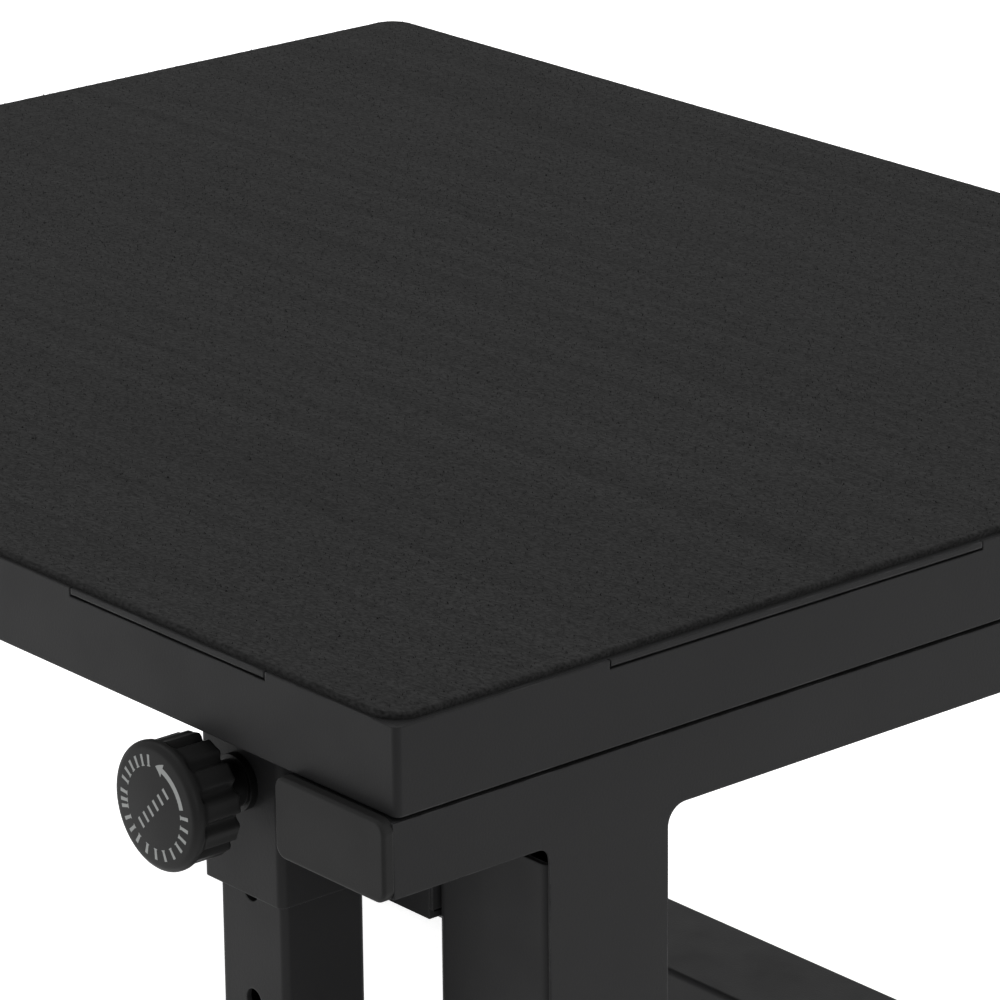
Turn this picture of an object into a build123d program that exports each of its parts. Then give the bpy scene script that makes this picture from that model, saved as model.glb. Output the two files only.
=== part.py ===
from build123d import *
import os

os.makedirs("parts", exist_ok=True)

# Height-adjustable steel bench with a carpeted deck, in millimetres.
# X is the short side of the deck, Y the long side, Z is up and the floor is z = 0.

# ---- deck ----
deck_x = 680.0
deck_y = 827.0
apron_high = 36.7
apron_bottom = 410.0
sheet = 2.0
top_thick = 2.6
plate_fold = 12.0
fold_thick = 1.5
lip = 14.0
tab_gap = 1.2
end_tab_from = 107.5
end_tab_long = 205.0
side_tab_from = 79.5
side_tab_long = 127.0
carpet_thick = 3.0
carpet_inset_x = 1.6
carpet_inset_y = 3.4
carpet_corner = 13.0
rib_wide = 40.0
rib_high = 22.5

# ---- end frames ----
rail_gap = 1.7
rail_high = 31.2
rail_past = 2.0
plate_thick = 1.2
rail_deep = 65.3
cap_thick = 5.0
cap_high = 34.2
cap_deep = 66.5
column_from = 76.3
column_wide = 61.9
leg_inset = 1.2
leg_wide = 60.4
leg_deep = 70.6
leg_corner = 6.0
leg_top_gap = 9.5
wall = 2.5
back_plate_thick = 2.0
back_plate_drop = 50.0

# ---- floor runners ----
runner_top = 40.0
runner_high = 32.0
runner_wide = 64.5
pad_high = 8.0
pad_radius = 20.0

# ---- sliding posts ----
post_size = 42.0
post_corner = 3.0
post_wall = 2.5
post_x = 50.5
post_y = 130.0
post_bottom = 138.0
hole_pitch = 48.5
hole_count = 5
hole_radius = 4.8
sleeve_size = 51.0
sleeve_bore = 42.6
sleeve_top = 406.5
sleeve_bottom = 331.2
arm_wide = 20.0
arm_high = 52.1
arm_top = 374.7

# ---- pull pins ----
pin_z = 379.3
pin_radius = 4.7
pin_fit = 0.05
pin_tip = 28.9
barrel_radius = 10.0
barrel_from = 7.0
chamber_radius = 7.6
knob_back = 6.4
knob_face = -18.2
knob_radius = 27.1
knob_rim = 6.5
knob_flutes = 12

x0 = -deck_x / 2
y0 = -deck_y / 2
apron_top = apron_bottom + apron_high
rail_top = apron_bottom - rail_gap
rail_bottom = rail_top - rail_high


def box(xs, ys, zs):
    """A block given by its low and high corner, measured from the deck's near corner."""
    size = (xs[1] - xs[0], ys[1] - ys[0], zs[1] - zs[0])
    centre = (x0 + (xs[0] + xs[1]) / 2, y0 + (ys[0] + ys[1]) / 2, (zs[0] + zs[1]) / 2)
    return Pos(*centre) * Box(*size)


def square_tube(cx, cy, size, corner, thick, zs):
    """A tube standing along Z, given by its outside size across X and Y."""
    outline = RectangleRounded(size[0], size[1], corner)
    outline -= RectangleRounded(size[0] - 2 * thick, size[1] - 2 * thick, max(corner - thick, 0.6))
    return Pos(x0 + cx, y0 + cy, zs[0]) * extrude(outline, zs[1] - zs[0])


def rod_x(radius, xs, y, z):
    """A round bar along X."""
    bar = Cylinder(radius, xs[1] - xs[0])
    return Pos(x0 + (xs[0] + xs[1]) / 2, y0 + y, z) * Rot(0, 90, 0) * bar


def place(shape, side_x, side_y):
    """The near-left shape, or its mirror image in one of the other three corners."""
    if side_x > 0:
        shape = mirror(shape, about=Plane.YZ)
    if side_y > 0:
        shape = mirror(shape, about=Plane.XZ)
    return shape


def write(name, shape):
    """One file per named piece."""
    shape.label = name
    export_step(shape, f"parts/{name}.step")


corners = {"nl": (-1, -1), "nr": (1, -1), "fl": (-1, 1), "fr": (1, 1)}
ends = {"near": -1, "far": 1}
sides = {"left": -1, "right": 1}

# ---- apron tray: four folded walls with notched top edges and an inward lip ----
outer = box((0, deck_x), (0, deck_y), (apron_bottom, apron_top))
upright = [e for e in outer.edges() if abs(e.tangent_at(0).Z) > 0.99]
outer = fillet(upright, 2.8)
inside = box((sheet, deck_x - sheet), (sheet, deck_y - sheet), (apron_bottom + sheet, apron_top + 1))
mouth = box((lip, deck_x - lip), (lip, deck_y - lip), (apron_bottom - 1, apron_top))
apron = outer - inside - mouth
notch_z = (apron_top - top_thick - tab_gap, apron_top + 1)
for start in (end_tab_from, deck_x - end_tab_from - end_tab_long):
    notch_x = (start, start + end_tab_long)
    apron -= box(notch_x, (-1, sheet), notch_z)
    apron -= box(notch_x, (deck_y - sheet, deck_y + 1), notch_z)
for start in (side_tab_from, deck_y - side_tab_from - side_tab_long):
    notch_y = (start, start + side_tab_long)
    apron -= box((-1, sheet), notch_y, notch_z)
    apron -= box((deck_x - sheet, deck_x + 1), notch_y, notch_z)
write("apron_tray", apron)

# ---- top plate: a sheet between the walls with its rim turned down, and tabs out through the notches ----
plate_z = (apron_top - top_thick, apron_top)
top_plate = box((sheet, deck_x - sheet), (sheet, deck_y - sheet), plate_z)
for start in (end_tab_from, deck_x - end_tab_from - end_tab_long):
    tab_x = (start + 0.8, start + end_tab_long - 0.8)
    top_plate += box(tab_x, (0, sheet + 1), plate_z)
    top_plate += box(tab_x, (deck_y - sheet - 1, deck_y), plate_z)
for start in (side_tab_from, deck_y - side_tab_from - side_tab_long):
    tab_y = (start + 0.8, start + side_tab_long - 0.8)
    top_plate += box((0, sheet + 1), tab_y, plate_z)
    top_plate += box((deck_x - sheet - 1, deck_x), tab_y, plate_z)
fold_z = (apron_top - plate_fold, apron_top)
for low in (sheet, deck_y - sheet - fold_thick):
    top_plate += box((sheet, deck_x - sheet), (low, low + fold_thick), fold_z)
for low in (sheet, deck_x - sheet - fold_thick):
    top_plate += box((low, low + fold_thick), (sheet, deck_y - sheet), fold_z)
write("top_plate", top_plate)

# ---- carpet covering ----
pile_x = deck_x - 2 * carpet_inset_x
pile_y = deck_y - 2 * carpet_inset_y
carpet = Pos(0, 0, apron_top) * extrude(RectangleRounded(pile_x, pile_y, carpet_corner), carpet_thick)
write("carpet", carpet)

# ---- ribs under the top plate, across the short way ----
ribs = []
for y in (deck_y * 0.3, deck_y * 0.5, deck_y * 0.7):
    across = (sheet + fold_thick, deck_x - sheet - fold_thick)
    rib_z = (apron_top - top_thick - rib_high, apron_top - top_thick)
    rib = box(across, (y - rib_wide / 2, y + rib_wide / 2), rib_z)
    hollow_y = (y - rib_wide / 2 + sheet, y + rib_wide / 2 - sheet)
    rib -= box((0, deck_x), hollow_y, (rib_z[0] + sheet, rib_z[1] - sheet))
    ribs.append(rib)
write("deck_ribs", Compound(children=ribs))

# ---- sliding posts, one in each corner, with a row of holes in the outer wall ----
post_top = apron_top - top_thick
plugs = []
post_near = square_tube(post_x, post_y, (post_size, post_size), post_corner, post_wall, (post_bottom, post_top))
for i in range(hole_count):
    hole_x = (post_x - post_size / 2 - 1, post_x - post_size / 2 + post_wall + 1)
    post_near -= rod_x(hole_radius, hole_x, post_y, pin_z - i * hole_pitch)
plug_near = Pos(x0 + post_x, y0 + post_y, post_bottom - 3) * extrude(RectangleRounded(post_size - 0.6, post_size - 0.6, 2.8), 3)
for tag, (side_x, side_y) in corners.items():
    write(f"post_{tag}", place(post_near, side_x, side_y))
    plugs.append(place(plug_near, side_x, side_y))
write("post_plugs", Compound(children=plugs))

# ---- side plates: one cut sheet for the rail face and both column faces ----
plate_low = runner_top
leg_high = rail_bottom - leg_top_gap
column_right = column_from + column_wide
plate_near = box((-rail_past, deck_x + rail_past), (0, plate_thick), (rail_bottom, rail_top))
for low_x in (column_from, deck_x - column_right):
    plate_near += box((low_x, low_x + column_wide), (0, plate_thick), (plate_low, rail_bottom))
inner_x = (x0 + column_right, -x0 - column_right)
outer_x = (x0 + column_from, -x0 - column_from)


def inside_corner(edge, places):
    """True for a short edge through the sheet at one of the given x places under the rail."""
    middle = edge.center()
    at_height = abs(middle.Z - rail_bottom) < 0.01
    return at_height and edge.length < 3 and min(abs(middle.X - x) for x in places) < 0.01


plate_near = fillet([e for e in plate_near.edges() if inside_corner(e, inner_x)], 9.0)
plate_near = fillet([e for e in plate_near.edges() if inside_corner(e, outer_x)], 6.0)
for tag, side_y in ends.items():
    write(f"side_plate_{tag}", place(plate_near, -1, side_y))

# ---- rail tubes behind the side plates, with plastic caps on both ends ----
rail_y = (plate_thick, rail_deep + plate_thick)
rail_near = box((-rail_past, deck_x + rail_past), rail_y, (rail_bottom, rail_top))
hollow_z = (rail_bottom + wall, rail_top - wall)
rail_near -= box((-9, deck_x + 9), (rail_y[0] + wall, rail_y[1] - wall), hollow_z)
for tag, side_y in ends.items():
    write(f"rail_{tag}", place(rail_near, -1, side_y))

cap_x = (-rail_past - cap_thick, -rail_past)
cap = box(cap_x, (0, cap_deep), (apron_bottom - cap_high, apron_bottom))
along_x = [e for e in cap.edges() if abs(e.tangent_at(0).X) > 0.99]
cap = fillet(along_x, 5.5)
front_rim = [e for e in cap.edges() if e.center().X < x0 - rail_past - cap_thick + 0.01]
cap = fillet(front_rim, 1.5)
plug_y = (rail_y[0] + wall + 0.2, rail_y[1] - wall - 0.2)
cap += box((-rail_past, 16), plug_y, (hollow_z[0] + 0.2, hollow_z[1] - 0.2))
for tag, (side_x, side_y) in corners.items():
    write(f"rail_cap_{tag}", place(cap, side_x, side_y))

# ---- legs and the short back plates that tie them to the rails ----
leg_cx = column_from + leg_inset + leg_wide / 2
leg_cy = plate_thick + leg_deep / 2
leg = square_tube(leg_cx, leg_cy, (leg_wide, leg_deep), leg_corner, wall, (runner_top, leg_high))
back_y = (plate_thick + leg_deep, plate_thick + leg_deep + back_plate_thick)
back_z = (rail_bottom - back_plate_drop, rail_bottom)
back_plate = box((post_x + sleeve_size / 2, leg_cx + leg_wide / 2 - 0.5), back_y, back_z)
for tag, (side_x, side_y) in corners.items():
    write(f"leg_{tag}", place(leg, side_x, side_y))
    write(f"back_plate_{tag}", place(back_plate, side_x, side_y))

# ---- arms from the back plates to the sleeves ----
arm_x = (post_x + sleeve_size / 2, post_x + sleeve_size / 2 + arm_wide)
arm_y = (back_y[1], post_y + sleeve_size / 2)
arm_z = (arm_top - arm_high, arm_top)
arm = box(arm_x, arm_y, arm_z)
arm -= box((arm_x[0] + wall, arm_x[1] - wall), (arm_y[0] - 1, arm_y[1] - wall), (arm_z[0] + wall, arm_z[1] - wall))

# ---- sleeves the posts slide in ----
sleeve = Pos(x0 + post_x, y0 + post_y, sleeve_bottom) * extrude(
    RectangleRounded(sleeve_size, sleeve_size, 3.2) - RectangleRounded(sleeve_bore, sleeve_bore, 3.1),
    sleeve_top - sleeve_bottom,
)
sleeve_face = post_x - sleeve_size / 2
sleeve -= rod_x(hole_radius + 0.4, (sleeve_face - 1, sleeve_face + 6), post_y, pin_z)

# ---- barrels that guide the pins, with a chamber for the spring ----
barrel = rod_x(barrel_radius, (barrel_from, sleeve_face), post_y, pin_z)
barrel += rod_x(barrel_radius + 2.0, (sleeve_face - 3.5, sleeve_face), post_y, pin_z)
barrel -= rod_x(chamber_radius, (barrel_from + 2.0, sleeve_face + 1), post_y, pin_z)
barrel -= rod_x(pin_radius + pin_fit, (barrel_from - 1, sleeve_face), post_y, pin_z)

# ---- pins with a shoulder for the spring ----
pin = rod_x(pin_radius, (-11.0, pin_tip), post_y, pin_z)
pin += rod_x(7.0, (21.0, 23.6), post_y, pin_z)
tip_edges = [e for e in pin.edges() if e.center().X > x0 + pin_tip - 0.01]
pin = chamfer(tip_edges, 1.2)

# ---- return spring on the pin, inside the barrel ----
coil_radius = 6.1
coil_from = barrel_from + 2.6
coil_long = 10.2
path = Helix(pitch=coil_long / 4, height=coil_long, radius=coil_radius)
coil = sweep(Plane(path @ 0, z_dir=path % 0) * Circle(0.5), path=path)
spring = Pos(x0 + coil_from, y0 + post_y, pin_z) * Rot(0, 90, 0) * coil

# ---- fluted knob with a smooth rim round its face ----
flute_ring = PolarLocations(knob_radius + 0.4, knob_flutes)
grip = Circle(knob_radius - 0.6) - flute_ring * Circle(3.4)
grip = extrude(grip, knob_back - knob_face - knob_rim)
knob_body = Pos(x0 + knob_face + knob_rim, y0 + post_y, pin_z) * Rot(0, 90, 0) * grip
rim = rod_x(knob_radius, (knob_face, knob_face + knob_rim), post_y, pin_z)
rim_edges = [e for e in rim.edges() if e.center().X < x0 + knob_face + 0.01]
rim = fillet(rim_edges, 3.0)
knob = knob_body + rim
knob -= rod_x(22.5, (knob_face - 1, knob_face + 1.2), post_y, pin_z)
knob -= rod_x(pin_radius + pin_fit, (-11.2, knob_back + 1), post_y, pin_z)
knob_disc = rod_x(22.4, (knob_face, knob_face + 1.2), post_y, pin_z)

for tag, (side_x, side_y) in corners.items():
    write(f"arm_{tag}", place(arm, side_x, side_y))
    write(f"sleeve_{tag}", place(sleeve, side_x, side_y))
    write(f"barrel_{tag}", place(barrel, side_x, side_y))
    write(f"pin_{tag}", place(pin, side_x, side_y))
    write(f"spring_{tag}", place(spring, side_x, side_y))
    write(f"knob_{tag}", place(knob, side_x, side_y))
    write(f"knob_disc_{tag}", place(knob_disc, side_x, side_y))

# ---- floor runners, their end caps and the rubber pads ----
runner_z = (pad_high, pad_high + runner_high)
runner_x = (column_from + leg_inset, column_from + leg_inset + runner_wide)
runner = box(runner_x, (2, deck_y - 2), runner_z)
long_edges = [e for e in runner.edges() if abs(e.tangent_at(0).Y) > 0.99]
runner = fillet(long_edges, 3.0)
runner -= box(
    (runner_x[0] + wall, runner_x[1] - wall),
    (0, deck_y),
    (runner_z[0] + wall, runner_z[1] - wall),
)
for tag, side_x in sides.items():
    write(f"runner_{tag}", place(runner, side_x, -1))

runner_cap = box(runner_x, (0, 2), runner_z)
runner_cap = fillet([e for e in runner_cap.edges() if abs(e.tangent_at(0).Y) > 0.99], 3.0)
inner_z = (runner_z[0] + wall + 0.2, runner_z[1] - wall - 0.2)
runner_cap += box((runner_x[0] + wall + 0.2, runner_x[1] - wall - 0.2), (2, 14), inner_z)
pad = Pos(x0 + runner_x[0] + runner_wide / 2, y0 + 38, 0) * extrude(Circle(pad_radius), pad_high)
pad = fillet([e for e in pad.edges() if e.center().Z < 0.01], 1.5)
places = list(corners.values())
write("runner_caps", Compound(children=[place(runner_cap, *s) for s in places]))
write("floor_pads", Compound(children=[place(pad, *s) for s in places]))
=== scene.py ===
import math

import bmesh
import bpy
import numpy as np
from mathutils import Matrix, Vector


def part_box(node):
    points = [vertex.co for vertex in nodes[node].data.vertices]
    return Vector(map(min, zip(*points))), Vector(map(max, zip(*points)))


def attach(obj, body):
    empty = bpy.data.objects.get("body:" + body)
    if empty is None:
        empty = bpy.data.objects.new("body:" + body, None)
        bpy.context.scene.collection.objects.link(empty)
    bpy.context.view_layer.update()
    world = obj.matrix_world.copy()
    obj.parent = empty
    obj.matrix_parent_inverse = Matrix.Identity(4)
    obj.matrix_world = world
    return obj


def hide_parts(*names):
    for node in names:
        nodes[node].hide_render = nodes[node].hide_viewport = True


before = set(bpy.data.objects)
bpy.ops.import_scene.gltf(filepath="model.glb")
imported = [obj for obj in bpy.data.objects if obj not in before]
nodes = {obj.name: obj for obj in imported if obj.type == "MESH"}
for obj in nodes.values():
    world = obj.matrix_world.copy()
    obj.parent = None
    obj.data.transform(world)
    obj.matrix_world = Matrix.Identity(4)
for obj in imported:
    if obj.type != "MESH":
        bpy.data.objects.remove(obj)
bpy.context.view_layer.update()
corners = {"nl": (-1, -1), "nr": (1, -1), "fl": (-1, 1), "fr": (1, 1)}


# ---------------------------------------------------------------------------
# Powder-coated steel: rails, side plates, legs, arms, sleeves, runners, posts
# and the folded apron. Mild steel tube and sheet, welded, then baked in a fine
# textured black powder that rounds every edge a little and scuffs on corners.
# ---------------------------------------------------------------------------
def link(tree, a, a_out, b, b_in):
    """Joins one socket to another."""
    tree.links.new(a.outputs[a_out], b.inputs[b_in])


def noise_at(tree, place, scale, detail=3.0, stretch=(1, 1, 1)):
    """Fractal noise on object coordinates; scale is lumps per metre."""
    spread = tree.nodes.new("ShaderNodeMapping")
    spread.inputs["Scale"].default_value = stretch
    link(tree, place, "Object", spread, "Vector")
    grain = tree.nodes.new("ShaderNodeTexNoise")
    grain.inputs["Scale"].default_value = scale
    grain.inputs["Detail"].default_value = detail
    link(tree, spread, "Vector", grain, "Vector")
    return grain


def between(tree, source, out, low, high, lo_in=0.3, hi_in=0.7):
    """Stretches a value from lo_in..hi_in to low..high."""
    fit = tree.nodes.new("ShaderNodeMapRange")
    fit.inputs["From Min"].default_value = lo_in
    fit.inputs["From Max"].default_value = hi_in
    fit.inputs["To Min"].default_value = low
    fit.inputs["To Max"].default_value = high
    link(tree, source, out, fit, "Value")
    return fit


def finish_with(name, tone, rough, grain_scale, grain_high, edge, worn, gloss=0.5, metal=0.0,
                streak=(1, 1, 1)):
    """A coat whose tone and roughness drift slowly, whose skin has fine grain,
    and whose edges are rounded by edge metres and rub lighter by worn. Scales are
    lumps per metre; darker and lighter are shares of the tone."""
    darker, lighter = 0.86, 1.16
    rubbed_gain, rubbed_lift = 5, 0.03
    drift_scale, cloud_scale, patch_scale = 9.0, 35.0, 60.0
    smoother, rougher = 0.05, 0.06
    coat = bpy.data.materials.new(name)
    coat.use_nodes = True
    tree = coat.node_tree
    shader = tree.nodes["Principled BSDF"]
    shader.inputs["Metallic"].default_value = metal
    shader.inputs["Specular IOR Level"].default_value = gloss
    place = tree.nodes.new("ShaderNodeTexCoord")
    drift = noise_at(tree, place, drift_scale, 4.0)
    fine = noise_at(tree, place, grain_scale, 2.0, streak)
    tint = tree.nodes.new("ShaderNodeMix")
    tint.data_type = "RGBA"
    tint.inputs[6].default_value = (*(c * darker for c in tone), 1)
    tint.inputs[7].default_value = (*(min(1, c * lighter) for c in tone), 1)
    link(tree, drift, "Fac", tint, 0)
    round_edge = tree.nodes.new("ShaderNodeBevel")
    round_edge.samples = 4
    round_edge.inputs["Radius"].default_value = edge
    facing = tree.nodes.new("ShaderNodeNewGeometry")
    turn = tree.nodes.new("ShaderNodeVectorMath")
    turn.operation = "DOT_PRODUCT"
    link(tree, round_edge, "Normal", turn, 0)
    link(tree, facing, "True Normal", turn, 1)
    rubbed = between(tree, turn, "Value", worn, 0.0, 0.80, 0.99)
    patch = noise_at(tree, place, patch_scale, 5.0)
    bare = tree.nodes.new("ShaderNodeMath")
    bare.operation = "MULTIPLY"
    link(tree, rubbed, "Result", bare, 0)
    link(tree, between(tree, patch, "Fac", 0.0, 1.0, 0.45, 0.62), "Result", bare, 1)
    top = tree.nodes.new("ShaderNodeMix")
    top.data_type = "RGBA"
    top.inputs[7].default_value = (*(min(1, c * rubbed_gain + rubbed_lift) for c in tone), 1)
    link(tree, bare, "Value", top, 0)
    tree.links.new(tint.outputs[2], top.inputs[6])
    tree.links.new(top.outputs[2], shader.inputs["Base Color"])
    cloud = noise_at(tree, place, cloud_scale, 4.0)
    sheen = between(tree, cloud, "Fac", rough - smoother, rough + rougher)
    link(tree, sheen, "Result", shader, "Roughness")
    skin = tree.nodes.new("ShaderNodeBump")
    skin.inputs["Strength"].default_value = 1.0
    skin.inputs["Distance"].default_value = grain_high
    link(tree, fine, "Fac", skin, "Height")
    link(tree, round_edge, "Normal", skin, "Normal")
    link(tree, skin, "Normal", shader, "Normal")
    return coat


def coat_node(name, material):
    """Gives a carried-over part its finish."""
    nodes[name].data.materials.clear()
    nodes[name].data.materials.append(material)


powder = finish_with("black_powder_coat", (0.0208, 0.0208, 0.0213), rough=0.40, grain_scale=900.0,
                     grain_high=0.00006, edge=0.0011, worn=0.30, gloss=0.10)
for name in ("apron_tray", "top_plate", "deck_ribs", "side_plate_near", "side_plate_far", "rail_near",
             "rail_far", "runner_left", "runner_right"):
    coat_node(name, powder)
for tag in corners:
    for name in ("leg", "back_plate", "arm", "sleeve", "post"):
        coat_node(f"{name}_{tag}", powder)

# ---------------------------------------------------------------------------
# Barrels for the pull-pins: turned steel bushes, blacked, welded to the sleeves.
# ---------------------------------------------------------------------------
bush_black = finish_with("blacked_bush", (0.004, 0.004, 0.004), rough=0.36, grain_scale=700.0,
                         grain_high=0.00003, edge=0.0005, worn=0.25, gloss=0.25)
for tag in corners:
    coat_node(f"barrel_{tag}", bush_black)

# ---------------------------------------------------------------------------
# Rail end caps, runner end caps and post plugs: injection-moulded black nylon
# with a fine spark-eroded grain, pushed into the open tube ends.
# ---------------------------------------------------------------------------
nylon = finish_with("moulded_nylon_cap", (0.0175, 0.0175, 0.0175), rough=0.46, grain_scale=1500.0,
                    grain_high=0.00005, edge=0.0010, worn=0.15, gloss=0.11)
for tag in corners:
    coat_node(f"rail_cap_{tag}", nylon)
coat_node("runner_caps", nylon)
coat_node("post_plugs", nylon)

# ---------------------------------------------------------------------------
# Floor pads: moulded rubber discs under the ends of the floor runners.
# ---------------------------------------------------------------------------
rubber = finish_with("pad_rubber", (0.012, 0.012, 0.012), rough=0.78, grain_scale=1100.0,
                     grain_high=0.00012, edge=0.0010, worn=0.20, gloss=0.3)
coat_node("floor_pads", rubber)

# ---------------------------------------------------------------------------
# Pull-pins and their return springs: turned and ground steel pins, and coils
# of hard-drawn wire. Both are lightly oiled and keep fine lines along the axis.
# ---------------------------------------------------------------------------
ground_steel = finish_with("ground_pin_steel", (0.50, 0.50, 0.51), rough=0.30, grain_scale=500.0,
                           grain_high=0.00002, edge=0.0003, worn=0.1, gloss=0.5, metal=1.0,
                           streak=(6, 1, 1))
drawn_wire = finish_with("drawn_spring_wire", (0.22, 0.22, 0.23), rough=0.38, grain_scale=900.0,
                         grain_high=0.00002, edge=0.0001, worn=0.1, gloss=0.5, metal=1.0, streak=(1, 4, 4))
for tag in corners:
    coat_node(f"pin_{tag}", ground_steel)
    coat_node(f"spring_{tag}", drawn_wire)


# ---------------------------------------------------------------------------
# Hand knobs: one moulding each of hard black plastic. A shallow dome and a wide
# smooth rim in front, then deep finger flutes, with a blind bore for the pin.
# ---------------------------------------------------------------------------
def smooth_step(t):
    """Rises from 0 to 1 with no corner at either end."""
    t = np.clip(t, 0, 1)
    return t * t * (3 - 2 * t)


def shell_mesh(name, rings, close_start=True, close_end=True):
    """A closed skin through rings of points, an array (rings, points, 3). The two
    ends are drawn together to one point each."""
    count, around, _ = rings.shape
    points = rings.reshape(-1, 3)
    i, j = np.meshgrid(np.arange(count - 1), np.arange(around), indexing="ij")
    a, b = i * around + j, i * around + (j + 1) % around
    faces = np.stack([a, b, b + around, a + around], -1).reshape(-1, 4).tolist()
    extra = []
    ring = np.arange(around)
    if close_start:
        extra.append(rings[0].mean(0))
        tip = len(points)
        faces += np.stack([np.full(around, tip), np.roll(ring, -1), ring], -1).tolist()
    if close_end:
        extra.append(rings[-1].mean(0))
        tip = len(points) + len(extra) - 1
        last = ring + (count - 1) * around
        faces += np.stack([np.full(around, tip), last, np.roll(last, -1)], -1).tolist()
    mesh = bpy.data.meshes.new(name)
    mesh.from_pydata(np.vstack([points] + [e[None] for e in extra]).tolist(), [], faces)
    return mesh


def show(name, mesh, material, smooth=True):
    """Puts a finished mesh into the scene, faces outwards."""
    work = bmesh.new()
    work.from_mesh(mesh)
    bmesh.ops.recalc_face_normals(work, faces=work.faces)
    work.to_mesh(mesh)
    work.free()
    mesh.polygons.foreach_set("use_smooth", [smooth] * len(mesh.polygons))
    mesh.materials.append(material)
    piece = bpy.data.objects.new(name, mesh)
    bpy.context.scene.collection.objects.link(piece)
    return piece


knob_plastic = finish_with("hard_knob_plastic", (0.0165, 0.0165, 0.0165), rough=0.36, grain_scale=1300.0,
                           grain_high=0.00003, edge=0.0003, worn=0.15, gloss=0.10)
knob_lobes = 12
knob_groove = 0.0032
knob_dome = 0.0007
dome_short_of_rim = 0.003
face_low, face_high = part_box("knob_nl")
knob_axis = ((face_low + face_high) / 2)[1:3]
knob_front = face_low[0]
knob_rear = face_high[0]
knob_r = (face_high[2] - face_low[2]) / 2
knob_front_round = 0.0032
knob_rear_round = 0.0016
face_eye_r = 0.0012
bore_r = 0.0049
bore_end = 0.0075
smooth_rim = 0.0048
flute_run_out = 0.0035
flute_inner_r, flute_inner_fade = 0.012, 0.006
flute_taper = 0.0012
first_lobe = 0.13


def knob_face_x(radius):
    """How far the domed face lies behind its middle at a radius from the axis."""
    return knob_dome * (radius / (knob_r - dome_short_of_rim)) ** 2


def knob_rings():
    """The outline of the knob from the middle of its face, over the rim, back along
    the flutes, round the rear edge and into the bore, turned about the axis. The
    radius dips by a rounded groove between each pair of lobes."""
    front, back = knob_front_round, knob_rear_round
    depth = knob_rear - knob_front
    face = np.linspace(face_eye_r, knob_r - front, 14)
    outline = [np.stack([knob_face_x(face), face], 1)]
    bend = np.linspace(0, np.pi / 2, 9)[1:]
    start = knob_face_x(knob_r - front)
    outline.append(np.stack([start + front * (1 - np.cos(bend)), knob_r - front + front * np.sin(bend)], 1))
    side = np.linspace(start + front, depth - back, 30)[1:]
    outline.append(np.stack([side, np.full_like(side, knob_r)], 1))
    bend = np.linspace(0, np.pi / 2, 6)[1:]
    outline.append(np.stack([depth - back + back * np.sin(bend), knob_r - back * (1 - np.cos(bend))], 1))
    inward = np.linspace(knob_r - back, bore_r, 9)[1:]
    outline.append(np.stack([np.full_like(inward, depth), inward], 1))
    bore = np.linspace(depth, bore_end, 6)[1:]
    outline.append(np.stack([bore, np.full_like(bore, bore_r)], 1))
    outline = np.vstack(outline)
    turn = np.linspace(0, 2 * np.pi, 20 * knob_lobes, endpoint=False)
    wave = np.cos(knob_lobes * turn)
    groove = np.clip((wave - 0.25) / 0.75, 0, 1) ** 0.8
    ripple = 0.10 * np.clip(-wave, 0, 1) ** 2
    from_face = outline[:, 0]
    fluted = smooth_step((from_face - smooth_rim) / flute_run_out)
    outer = smooth_step((outline[:, 1] - flute_inner_r) / flute_inner_fade)
    dip = knob_groove * (groove + ripple)[None, :] * (fluted * outer)[:, None]
    taper = flute_taper * fluted * outer
    radius = outline[:, 1][:, None] - dip - taper[:, None]
    return from_face, radius, turn


def knob_mesh(name, side_x, side_y):
    """The turned outline set on the knob's own axis."""
    from_face, radius, turn = knob_rings()
    rings = np.empty(radius.shape + (3,))
    rings[..., 0] = side_x * (-knob_front - from_face[:, None])
    rings[..., 1] = side_y * -knob_axis[0] + radius * np.cos(turn + first_lobe)
    rings[..., 2] = knob_axis[1] + radius * np.sin(turn + first_lobe)
    return shell_mesh(name, rings)


for tag, (side_x, side_y) in corners.items():
    grip = show(f"fluted_knob_{tag}", knob_mesh(f"fluted_knob_{tag}", side_x, side_y), knob_plastic)
    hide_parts(f"knob_{tag}", f"knob_disc_{tag}")
    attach(grip, f"hand_knob_{tag}")


# ---------------------------------------------------------------------------
# Printed marks on the knob faces: pale pad-printed ink, a turn arrow, rings of
# plain bars and a slanting row of bars across the middle.
# ---------------------------------------------------------------------------
ink = finish_with("pale_printed_ink", (0.30, 0.31, 0.305), rough=0.55, grain_scale=2500.0,
                  grain_high=0.00001, edge=0.00005, worn=0.0, gloss=0.4)
ink_thick = 0.00007


def printed_patch(outline):
    """A thin tile of ink from a grid of (across, up) points on the face: its front
    follows the dome and its back sinks a little into the plastic."""
    rows, cols, _ = outline.shape
    radius = np.hypot(outline[..., 0], outline[..., 1])
    lie = knob_face_x(radius)
    front = np.dstack([lie - ink_thick, outline])
    rear = np.dstack([lie + ink_thick, outline])
    points = np.vstack([front.reshape(-1, 3), rear.reshape(-1, 3)])
    index = np.arange(rows * cols).reshape(rows, cols)
    cell = np.stack([index[:-1, :-1], index[1:, :-1], index[1:, 1:], index[:-1, 1:]], -1).reshape(-1, 4)
    rim = np.concatenate([index[0, :-1], index[:-1, -1], index[-1, :0:-1], index[:0:-1, 0]])
    beyond = np.roll(rim, -1)
    wall = np.stack([rim, beyond, beyond + rows * cols, rim + rows * cols], -1)
    faces = np.vstack([cell, cell[:, ::-1] + rows * cols, wall])
    return points, faces


def arc_patch(r_in, r_out, start, stop, steps=14):
    """Part of a ring between two radii and two angles in degrees."""
    angle = np.radians(np.linspace(start, stop, steps))[:, None]
    radius = np.linspace(r_in, r_out, 3)[None, :]
    return np.dstack([radius * np.cos(angle), radius * np.sin(angle)])


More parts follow.
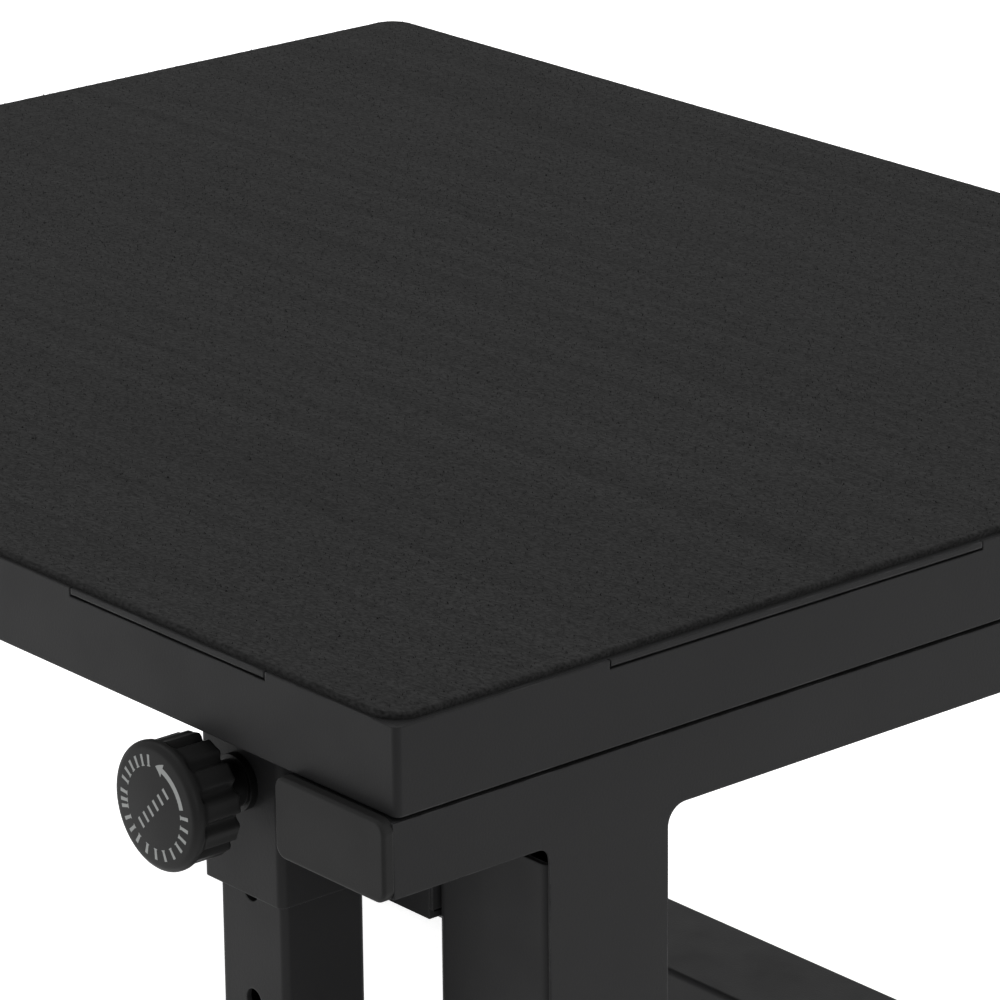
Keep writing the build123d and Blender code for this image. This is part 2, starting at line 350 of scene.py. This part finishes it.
def arrow_head(radius, half, start, stop):
    """A wedge that narrows from twice half to nothing along a ring."""
    t = np.linspace(0, 1, 6)[:, None]
    angle = np.radians(start + (stop - start) * t)
    reach = radius + half * (1 - t * 0.97) * np.linspace(-1, 1, 3)[None, :]
    return np.dstack([reach * np.cos(angle), reach * np.sin(angle)])


def bar_patch(centre, along, half_long, half_wide):
    """A straight bar with its long way turned to the angle along."""
    u = np.array([math.cos(along), math.sin(along)])
    v = np.array([-u[1], u[0]])
    s = np.linspace(-1, 1, 4)[:, None, None] * half_long
    w = np.linspace(-1, 1, 2)[None, :, None] * half_wide
    return np.asarray(centre)[None, None, :] + s * u + w * v


arrow_r, arrow_half = 0.01855, 0.0030
patches = [arc_patch(0.0174, 0.0197, 14, 72), arrow_head(arrow_r, arrow_half, 71, 84)]
base_r, base_top, bar_top = 0.0172, 0.0177, 0.0220
base_half = 3.2
# each group of bars: first angle, last angle and how many, in degrees round the face
for first, last, bars in ((4, -38, 4), (-55, -106, 4), (-124, -166, 4), (176, 186, 2), (160, 98, 6)):
    for at in np.linspace(first, last, bars):
        width = 2.1 if bars != 6 else 1.9
        patches.append(arc_patch(base_r, base_top, at - base_half, at + base_half, 4))
        patches.append(arc_patch(base_r, bar_top, at - width, at + width, 4))
row_angle = math.radians(46)
row_reach = 0.0118
for step in np.linspace(-1, 1, 6):
    middle = (row_reach * step * math.cos(row_angle), row_reach * step * math.sin(row_angle))
    patches.append(bar_patch(middle, row_angle + math.pi / 2, 0.0024, 0.0007))
made = [printed_patch(p) for p in patches]
offsets = np.cumsum([0] + [len(p) for p, _ in made[:-1]])
mark_points = np.vstack([p for p, _ in made])
mark_faces = np.vstack([f + o for (_, f), o in zip(made, offsets)])
for tag, (side_x, side_y) in corners.items():
    world = np.empty_like(mark_points)
    world[:, 0] = side_x * (-knob_front - mark_points[:, 0])
    world[:, 1] = side_y * -knob_axis[0] + side_x * mark_points[:, 1]
    world[:, 2] = knob_axis[1] + mark_points[:, 2]
    sheet = bpy.data.meshes.new(f"knob_print_{tag}")
    sheet.from_pydata(world.tolist(), [], mark_faces.tolist())
    marks = show(f"knob_print_{tag}", sheet, ink, smooth=False)
    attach(marks, f"hand_knob_{tag}")


# ---------------------------------------------------------------------------
# Weld beads: laid by hand where arms, sleeves, back plates and legs meet, then coated with the frame. Each
# bead has the ripples of its puddles.
# ---------------------------------------------------------------------------
def bead(path, thick, pitch, seed):
    """A rope of weld along straight runs between points: a tube whose radius swells
    once every pitch and wanders a little."""
    path = np.asarray(path, float)
    runs = np.linalg.norm(np.diff(path, axis=0), axis=1)
    total = runs.sum()
    ring_gap = 0.0007
    s = np.linspace(0, total, max(8, int(total / ring_gap)))
    marks_at = np.concatenate([[0], np.cumsum(runs)])
    middle = np.stack([np.interp(s, marks_at, path[:, k]) for k in range(3)], 1)
    ahead = np.gradient(middle, axis=0)
    ahead /= np.linalg.norm(ahead, axis=1)[:, None]
    guide = np.array([0.31, 0.52, 0.79])
    u = np.cross(ahead, guide)
    u /= np.linalg.norm(u, axis=1)[:, None]
    v = np.cross(ahead, u)
    wander = np.random.default_rng(seed).normal(0, 1, 12)
    drift = sum(wander[k] * np.sin((k + 1) * 2.1 * s / total * np.pi + wander[k + 6]) for k in range(6)) / 6
    ends = np.clip(np.minimum(s, total - s) / thick, 0.05, 1) ** 0.5
    radius = thick * ends * (1 + 0.16 * np.abs(np.sin(np.pi * s / pitch)) + 0.07 * drift)
    turn = np.linspace(0, 2 * np.pi, 10, endpoint=False)
    ring = np.cos(turn)[None, :, None] * u[:, None, :] + np.sin(turn)[None, :, None] * v[:, None, :]
    return middle[:, None, :] + ring * radius[:, None, None]


def joined(name, ring_sets):
    """Several closed ropes in one mesh."""
    points, faces = [], []
    for rings in ring_sets:
        base = sum(len(p) for p in points)
        part = shell_mesh("part", rings)
        co = np.empty(len(part.vertices) * 3)
        part.vertices.foreach_get("co", co)
        faces += [[base + k for k in f.vertices] for f in part.polygons]
        points.append(co.reshape(-1, 3))
        bpy.data.meshes.remove(part)
    mesh = bpy.data.meshes.new(name)
    mesh.from_pydata(np.vstack(points).tolist(), [], faces)
    return mesh


weld_coat = finish_with("coated_weld", (0.0215, 0.0215, 0.0220), rough=0.38, grain_scale=1400.0,
                        grain_high=0.00005, edge=0.0002, worn=0.3, gloss=0.10)
arm_pitch, leg_pitch, leg_thick = 0.0024, 0.0026, 0.0020
seam_short, seam_inset, plate_short, leg_inset = 0.004, 0.0048, 0.003, 0.006
for tag, (side_x, side_y) in corners.items():
    arm_low, arm_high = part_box(f"arm_{tag}")
    sleeve_low, sleeve_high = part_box(f"sleeve_{tag}")
    leg_low, leg_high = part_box(f"leg_{tag}")
    seam_x = sleeve_high[0] if side_x < 0 else sleeve_low[0]
    inner_y = sleeve_low[1] if side_y < 0 else sleeve_high[1]
    outer_y = sleeve_high[1] if side_y < 0 else sleeve_low[1]
    low_z = max(arm_low[2], sleeve_low[2]) + seam_short
    high_z = arm_high[2] - seam_short
    ropes = []
    for seam_y, seed in ((inner_y - side_y * seam_inset, 3), (outer_y + side_y * seam_inset, 4)):
        ropes.append(bead([(seam_x, seam_y, low_z), (seam_x, seam_y, high_z)], 0.0019, arm_pitch, seed))
    plate_y = arm_low[1] if side_y < 0 else arm_high[1]
    inner_x = arm_high[0] if side_x < 0 else arm_low[0]
    upright = [(inner_x, plate_y, arm_low[2] + plate_short), (inner_x, plate_y, arm_high[2] - plate_short)]
    ropes.append(bead(upright, 0.0017, arm_pitch, 5))
    foot_z = leg_low[2]
    for edge_x in (leg_low[0], leg_high[0]):
        run = [(edge_x, leg_low[1] + leg_inset, foot_z), (edge_x, leg_high[1] - leg_inset, foot_z)]
        ropes.append(bead(run, leg_thick, leg_pitch, 7))
    inside_y = leg_high[1] if side_y < 0 else leg_low[1]
    run = [(leg_low[0] + leg_inset, inside_y, foot_z), (leg_high[0] - leg_inset, inside_y, foot_z)]
    ropes.append(bead(run, leg_thick, leg_pitch, 8))
    welds = show(f"frame_welds_{tag}", joined(f"frame_welds_{tag}", ropes), weld_coat)
    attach(welds, "base")


# ---------------------------------------------------------------------------
# Deck covering: short needle-punched carpet, glued to the top plate and cut
# with rounded corners. The pile lies in faint lines along the deck's long way.
# ---------------------------------------------------------------------------
carpet_low, carpet_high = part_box("carpet")
half_x, half_y = carpet_high[0], carpet_high[1]
corner_r = 0.013
edge_roll = 0.0009
pile_drop = 0.00015
lump_high, line_high = 0.00010, 0.00004


def carpet_mesh():
    """A grid over the rounded rectangle: each row is as wide as the outline is there,
    the height rolls off at the edge, and seeded lumps raise the pile."""
    u = np.concatenate([[-1, -0.9985, -0.996], np.linspace(-0.992, 0.992, 262), [0.996, 0.9985, 1]])
    rows = np.linspace(-(half_y - corner_r), half_y - corner_r, 300)
    bend = np.sin(np.linspace(0, np.pi / 2, 9))[1:] * corner_r
    v = np.concatenate([-(half_y - corner_r) - bend[::-1], rows, half_y - corner_r + bend])
    past = np.clip(np.abs(v) - (half_y - corner_r), 0, corner_r)
    wide = half_x - corner_r + np.sqrt(np.clip(corner_r**2 - past**2, 0, None))
    x = u[None, :] * wide[:, None]
    y = np.repeat(v[:, None], len(u), 1)
    to_side = wide[:, None] - np.abs(x)
    to_end = half_y - np.abs(y)
    cx, cy = np.abs(x) - (half_x - corner_r), np.abs(y) - (half_y - corner_r)
    in_corner = (cx > 0) & (cy > 0)
    inside = np.where(in_corner, corner_r - np.hypot(cx, cy), np.minimum(to_side, to_end))
    near = np.clip(1 - inside / edge_roll, 0, 1)
    fall = edge_roll * (1 - np.sqrt(1 - np.minimum(near, 0.999) ** 2))
    rng = np.random.default_rng(11)
    lumps = rng.normal(0, 1, x.shape)
    lines = rng.normal(0, 1, len(u))[None, :] * np.ones((len(v), 1))
    slow = 0.6 + 0.4 * np.sin(y * 9 + rng.normal(0, 2, len(u))[None, :])
    pile = (lump_high * lumps + line_high * lines * slow) * np.clip(inside / 0.002, 0, 1)
    z = carpet_high[2] - pile_drop - fall + pile
    grid = np.dstack([x, y, z])
    count_v, count_u = x.shape
    index = np.arange(count_v * count_u).reshape(count_v, count_u)
    cells = np.stack([index[:-1, :-1], index[:-1, 1:], index[1:, 1:], index[1:, :-1]], -1).reshape(-1, 4)
    rim = np.concatenate([index[0, :-1], index[:-1, -1], index[-1, :0:-1], index[:0:-1, 0]])
    points = grid.reshape(-1, 3)
    foot = points[rim].copy()
    foot[:, 2] = carpet_low[2]
    base = len(points)
    ring = np.arange(len(rim))
    beyond = np.roll(ring, -1)
    wall = np.stack([rim, ring + base, beyond + base, rim[beyond]], -1)
    middle = len(points) + len(foot)
    under = np.stack([np.full(len(ring), middle), beyond + base, ring + base], -1)
    mesh = bpy.data.meshes.new("carpet_covering")
    centre = np.array([[0, 0, carpet_low[2]]])
    faces = cells.tolist() + wall.tolist() + under.tolist()
    mesh.from_pydata(np.vstack([points, foot, centre]).tolist(), [], faces)
    return mesh


def carpet_pile():
    """Matt fibre: fine tufts, long faint lines along Y, and a slow change of tone."""
    pile = bpy.data.materials.new("needle_punched_carpet")
    pile.use_nodes = True
    tree = pile.node_tree
    shader = tree.nodes["Principled BSDF"]
    shader.inputs["Roughness"].default_value = 0.95
    shader.inputs["Specular IOR Level"].default_value = 0.08
    shader.inputs["Sheen Weight"].default_value = 0.05
    shader.inputs["Sheen Roughness"].default_value = 0.5
    place = tree.nodes.new("ShaderNodeTexCoord")
    tuft_scale, across_lines, along_lines = 780.0, 170, 2.6
    tufts = noise_at(tree, place, tuft_scale, 2.0, (1, 0.55, 1))
    lines = noise_at(tree, place, 1.0, 4.0, (across_lines, along_lines, 1))
    broad = noise_at(tree, place, 5.0, 3.0)
    tone = between(tree, tufts, "Fac", 0.0090, 0.0240, 0.34, 0.66)
    line_tone = between(tree, lines, "Fac", 0.84, 1.16, 0.35, 0.65)
    slow_tone = between(tree, broad, "Fac", 0.95, 1.05)
    first = tree.nodes.new("ShaderNodeMath")
    first.operation = "MULTIPLY"
    link(tree, tone, "Result", first, 0)
    link(tree, line_tone, "Result", first, 1)
    second = tree.nodes.new("ShaderNodeMath")
    second.operation = "MULTIPLY"
    link(tree, first, "Value", second, 0)
    link(tree, slow_tone, "Result", second, 1)
    grey = tree.nodes.new("ShaderNodeCombineColor")
    for channel in ("Red", "Green", "Blue"):
        link(tree, second, "Value", grey, channel)
    link(tree, grey, "Color", shader, "Base Color")
    bump = tree.nodes.new("ShaderNodeBump")
    bump.inputs["Strength"].default_value = 0.9
    bump.inputs["Distance"].default_value = 0.00035
    link(tree, tufts, "Fac", bump, "Height")
    link(tree, bump, "Normal", shader, "Normal")
    return pile


pile_material = carpet_pile()
covering = show("carpet_covering", carpet_mesh(), pile_material)
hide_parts("carpet")
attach(covering, "deck")


# ---------------------------------------------------------------------------
# Carpet tufts: ends of fibre that the needles left standing, a few millimetres
# apart all over the deck, each leaning its own way and catching the light.
# ---------------------------------------------------------------------------
tuft_margin = 0.0008
tuft_sunk = 0.00045


def standing_tufts(name, seed, gap_x, gap_y):
    """Small closed spikes on a jittered grid inside the rounded outline. A spike is a
    triangle of seeded size sunk in the pile and one tip above it, pushed sideways."""
    rng = np.random.default_rng(seed)
    gx, gy = np.meshgrid(np.arange(-half_x + gap_x, half_x, gap_x), np.arange(-half_y + gap_y, half_y, gap_y))
    foot = np.stack([gx.ravel(), gy.ravel()], 1) + rng.uniform(-0.5, 0.5, (gx.size, 2)) * [gap_x, gap_y]
    past = np.abs(foot) - [half_x - corner_r, half_y - corner_r]
    past_corner = np.hypot(*np.clip(past, 0, None).T)
    foot = foot[past_corner < corner_r - tuft_margin]
    count = len(foot)
    thick = rng.uniform(0.00026, 0.00046, count)
    tall = rng.uniform(0.00055, 0.00115, count)
    lean = rng.normal(0, 0.00028, (count, 2)) + [0, 0.00012]
    turn = rng.uniform(0, 2 * np.pi, count)[:, None] + np.arange(3) * 2 * np.pi / 3
    points = np.empty((count, 4, 3))
    points[:, :3, 0] = foot[:, :1] + thick[:, None] * np.cos(turn)
    points[:, :3, 1] = foot[:, 1:] + thick[:, None] * np.sin(turn)
    points[:, :3, 2] = carpet_high[2] - tuft_sunk
    points[:, 3, :2] = foot + lean
    points[:, 3, 2] = carpet_high[2] - tuft_sunk + tall
    one = np.array([[0, 2, 1], [0, 1, 3], [1, 2, 3], [2, 0, 3]])
    faces = (one[None] + 4 * np.arange(count)[:, None, None]).reshape(-1, 3)
    mesh = bpy.data.meshes.new(name)
    mesh.from_pydata(points.reshape(-1, 3).tolist(), [], faces.tolist())
    return mesh


def tuft_fibre():
    """Matt fibre whose tone changes from one tuft to the next."""
    fibre = bpy.data.materials.new("tuft_fibre")
    fibre.use_nodes = True
    tree = fibre.node_tree
    shader = tree.nodes["Principled BSDF"]
    shader.inputs["Roughness"].default_value = 0.9
    shader.inputs["Specular IOR Level"].default_value = 0.1
    place = tree.nodes.new("ShaderNodeTexCoord")
    each = noise_at(tree, place, 420.0, 1.0)
    tone = between(tree, each, "Fac", 0.004, 0.066, 0.32, 0.70)
    fade = noise_at(tree, place, 14.0, 3.0, (1, 0.4, 1))
    level = between(tree, fade, "Fac", 0.7, 1.25)
    both = tree.nodes.new("ShaderNodeMath")
    both.operation = "MULTIPLY"
    link(tree, tone, "Result", both, 0)
    link(tree, level, "Result", both, 1)
    grey = tree.nodes.new("ShaderNodeCombineColor")
    for channel in ("Red", "Green", "Blue"):
        link(tree, both, "Value", grey, channel)
    link(tree, grey, "Color", shader, "Base Color")
    rough = between(tree, each, "Fac", 0.8, 1.0)
    link(tree, rough, "Result", shader, "Roughness")
    skin = tree.nodes.new("ShaderNodeBump")
    skin.inputs["Distance"].default_value = 0.00005
    link(tree, each, "Fac", skin, "Height")
    link(tree, skin, "Normal", shader, "Normal")
    return fibre


tuft_material = tuft_fibre()
for name, seed, gap_x, gap_y in (("carpet_tufts_fine", 21, 0.0032, 0.0042),
                                 ("carpet_tufts_coarse", 22, 0.0037, 0.0050)):
    tufts = show(name, standing_tufts(name, seed, gap_x, gap_y), tuft_material, smooth=False)
    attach(tufts, "deck")


# ---------------------------------------------------------------------------
# Loose fibres along the cut edge of the carpet, where the blade frayed it.
# ---------------------------------------------------------------------------
def edge_fibres():
    """Three-sided hairs rooted on the rounded outline, each bent outwards
    and up by a seeded amount, all worked out at once."""
    count = 1500
    root_inset, root_below = 0.0006, 0.0009
    rng = np.random.default_rng(5)
    straight_x, straight_y = 2 * (half_x - corner_r), 2 * (half_y - corner_r)
    along = rng.random(count) * 2 * (straight_x + straight_y)
    side = np.searchsorted(np.cumsum([straight_x, straight_y, straight_x]), along)
    start = np.array([0, straight_x, straight_x + straight_y, 2 * straight_x + straight_y])[side]
    t = along - start
    signs = np.array([(0, -1), (1, 0), (0, 1), (-1, 0)])[side]
    root = np.empty((count, 3))
    root[:, 0] = np.where(signs[:, 0] == 0, t - straight_x / 2, signs[:, 0] * (half_x - root_inset))
    root[:, 1] = np.where(signs[:, 1] == 0, t - straight_y / 2, signs[:, 1] * (half_y - root_inset))
    root[:, 2] = carpet_high[2] - root_below - 0.0011 * rng.random(count)
    length = 0.0007 + 0.0013 * rng.random(count) ** 2
    out = np.zeros((count, 3))
    out[:, :2] = signs * (0.35 + 0.5 * rng.random((count, 1)))
    out[:, :2] += rng.normal(0, 0.45, (count, 2))
    out[:, 2] = 0.25 * rng.random(count)
    out /= np.linalg.norm(out, axis=1)[:, None]
    sag = np.array([0, 0, -0.25])
    steps = np.array([0, 0.5, 1.0])
    line = root[:, None] + length[:, None, None] * (steps[None, :, None] * out[:, None]
                                                   + (steps**2)[None, :, None] * sag)
    turn = np.arange(3) * 2 * np.pi / 3
    ring = np.stack([np.cos(turn), np.zeros(3), np.sin(turn)], 1)
    thick = np.array([0.00007, 0.00006, 0.00003])
    points = line[:, :, None, :] + ring[None, None] * thick[None, :, None, None]
    one = [[0, 1, 4, 3], [1, 2, 5, 4], [2, 0, 3, 5], [3, 4, 7, 6], [4, 5, 8, 7], [5, 3, 6, 8]]
    quads = (np.array(one)[None] + 9 * np.arange(count)[:, None, None]).reshape(-1, 4)
    caps = (np.array([[0, 2, 1], [6, 7, 8]])[None] + 9 * np.arange(count)[:, None, None]).reshape(-1, 3)
    mesh = bpy.data.meshes.new("carpet_edge_fibres")
    mesh.from_pydata(points.reshape(-1, 3).tolist(), [], quads.tolist() + caps.tolist())
    return mesh


fibre = finish_with("grey_fibre", (0.05, 0.05, 0.05), rough=0.85, grain_scale=900.0, grain_high=0.00001,
                    edge=0.00001, worn=0.0, gloss=0.2)
fray = show("carpet_edge_fibres", edge_fibres(), fibre)
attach(fray, "deck")

# ---------------------------------------------------------------------------
# Floor: a pale studio sweep, not part of the bench, with a painted pool of light: its emission glows
# brightest round a spot beyond the bench and fades outwards, and this glow lights the bench too.
# ---------------------------------------------------------------------------
pale = bpy.data.materials.new("pale_floor_painted_glow")
pale.use_nodes = True
floor_shader = pale.node_tree.nodes["Principled BSDF"]
floor_shader.inputs["Base Color"].default_value = (0.92, 0.92, 0.92, 1)
floor_shader.inputs["Roughness"].default_value = 0.7
floor_shader.inputs["Emission Color"].default_value = (1, 1, 1, 1)
spot = pale.node_tree.nodes.new("ShaderNodeTexCoord")
centred = pale.node_tree.nodes.new("ShaderNodeMapping")
glow_x, glow_y = 0.9, 1.0
centred.inputs["Location"].default_value = (-glow_x, -glow_y, 0)
link(pale.node_tree, spot, "Object", centred, "Vector")
span = pale.node_tree.nodes.new("ShaderNodeVectorMath")
span.operation = "LENGTH"
link(pale.node_tree, centred, "Vector", span, 0)
# painted pool of light: floor emission 0.85 within glow_near of the spot, fading to 0.10 by glow_far
glow_near, glow_far = 1.25, 2.5
glow = between(pale.node_tree, span, "Value", 0.85, 0.10, glow_near, glow_far)
glow.interpolation_type = "SMOOTHSTEP"
link(pale.node_tree, glow, "Result", floor_shader, "Emission Strength")
ground = bpy.data.meshes.new("studio_floor")
reach = 30.0
ground.from_pydata([(-reach, -reach, 0), (reach, -reach, 0), (reach, reach, 0), (-reach, reach, 0)], [],
                   [(0, 1, 2, 3)])
ground.materials.append(pale)
floor = bpy.data.objects.new("studio_floor", ground)
bpy.context.scene.collection.objects.link(floor)

# ---------------------------------------------------------------------------
# Black card: a low curved wall of dark card standing on the floor off the near
# corner, seen only in reflections, so that rounded upright edges stay dark.
# ---------------------------------------------------------------------------
card_black = bpy.data.materials.new("black_card")
card_black.use_nodes = True
card_shader = card_black.node_tree.nodes["Principled BSDF"]
card_shader.inputs["Base Color"].default_value = (0.004, 0.004, 0.004, 1)
card_shader.inputs["Roughness"].default_value = 1.0
card_shader.inputs["Specular IOR Level"].default_value = 0.0
card_heading, card_half_turn, card_reach, card_high = 220.3, 42, 1.25, 0.62
card_edges = 25
sweep = np.radians(np.linspace(card_heading - card_half_turn, card_heading + card_half_turn, card_edges))
foot = np.stack([card_reach * np.sin(sweep), card_reach * np.cos(sweep), np.full(card_edges, 0.002)], 1)
crest = foot + [0, 0, card_high]
panes = [(k, k + 1, k + card_edges + 1, k + card_edges) for k in range(card_edges - 1)]
card = bpy.data.meshes.new("black_card")
card.from_pydata(np.vstack([foot, crest]).tolist(), [], panes)
card.materials.append(card_black)
flag = bpy.data.objects.new("black_card", card)
for ray in ("camera", "diffuse", "transmission", "volume_scatter", "shadow"):
    setattr(flag, f"visible_{ray}", False)
bpy.context.scene.collection.objects.link(flag)

# ---------------------------------------------------------------------------
# Light: soft panels on both sides and overhead, and an even white room.
# ---------------------------------------------------------------------------
room = bpy.data.worlds.new("white_room")
room.use_nodes = True
room.node_tree.nodes["Background"].inputs["Color"].default_value = (1, 1, 1, 1)
room.node_tree.nodes["Background"].inputs["Strength"].default_value = 0.62
bpy.context.scene.world = room


def soft_panel(name, place, target, size, power):
    """A square light facing a point."""
    lamp = bpy.data.lights.new(name, "AREA")
    lamp.shape = "SQUARE"
    lamp.size = size
    lamp.energy = power
    holder = bpy.data.objects.new(name, lamp)
    away = np.array(place, float) - np.array(target, float)
    away /= np.linalg.norm(away)
    sideways = np.cross([0, 0, 1.0], away)
    sideways /= np.linalg.norm(sideways)
    upward = np.cross(away, sideways)
    pose = Matrix([[sideways[k], upward[k], away[k], place[k]] for k in range(3)] + [[0, 0, 0, 1]])
    holder.matrix_world = pose
    bpy.context.scene.collection.objects.link(holder)


soft_panel("panel_left", (-3.2, 0.9, 1.6), (0, 0, 0.3), 2.6, 3)
soft_panel("panel_right", (1.6, -3.2, 1.6), (0, 0, 0.3), 2.6, 8)
soft_panel("panel_fill", (-1.2, -3.0, 0.7), (-0.3, -0.3, 0.3), 1.5, 11)
soft_panel("panel_top", (0.2, 0.6, 3.4), (0, 0, 0.4), 3.0, 22)

# ---------------------------------------------------------------------------
# Camera: standing off the near-left corner, a little above the deck, with a
# long lens, so the near end of the bench fills the frame.
# ---------------------------------------------------------------------------
lens = bpy.data.cameras.new("camera")
lens.sensor_width = 36.0
lens.lens = 198.96
lens.clip_start = 0.05
lens.clip_end = 100.0
camera = bpy.data.objects.new("camera", lens)
heading, pitch, roll = math.radians(40.34), math.radians(19.27), math.radians(-0.53)
flat_reach = math.cos(pitch)
forward = np.array([math.sin(heading) * flat_reach, math.cos(heading) * flat_reach, -math.sin(pitch)])
level = np.array([math.cos(heading), -math.sin(heading), 0])
lift = np.cross(level, forward)
right = math.cos(roll) * level + math.sin(roll) * lift
upright = math.cos(roll) * lift - math.sin(roll) * level
stand = (-1.5598, -1.9116, 1.2126)
rows = [[right[k], upright[k], -forward[k], stand[k]] for k in range(3)]
camera.matrix_world = Matrix(rows + [[0, 0, 0, 1]])
bpy.context.scene.collection.objects.link(camera)
bpy.context.scene.camera = camera
bpy.context.scene.view_settings.view_transform = "Standard"
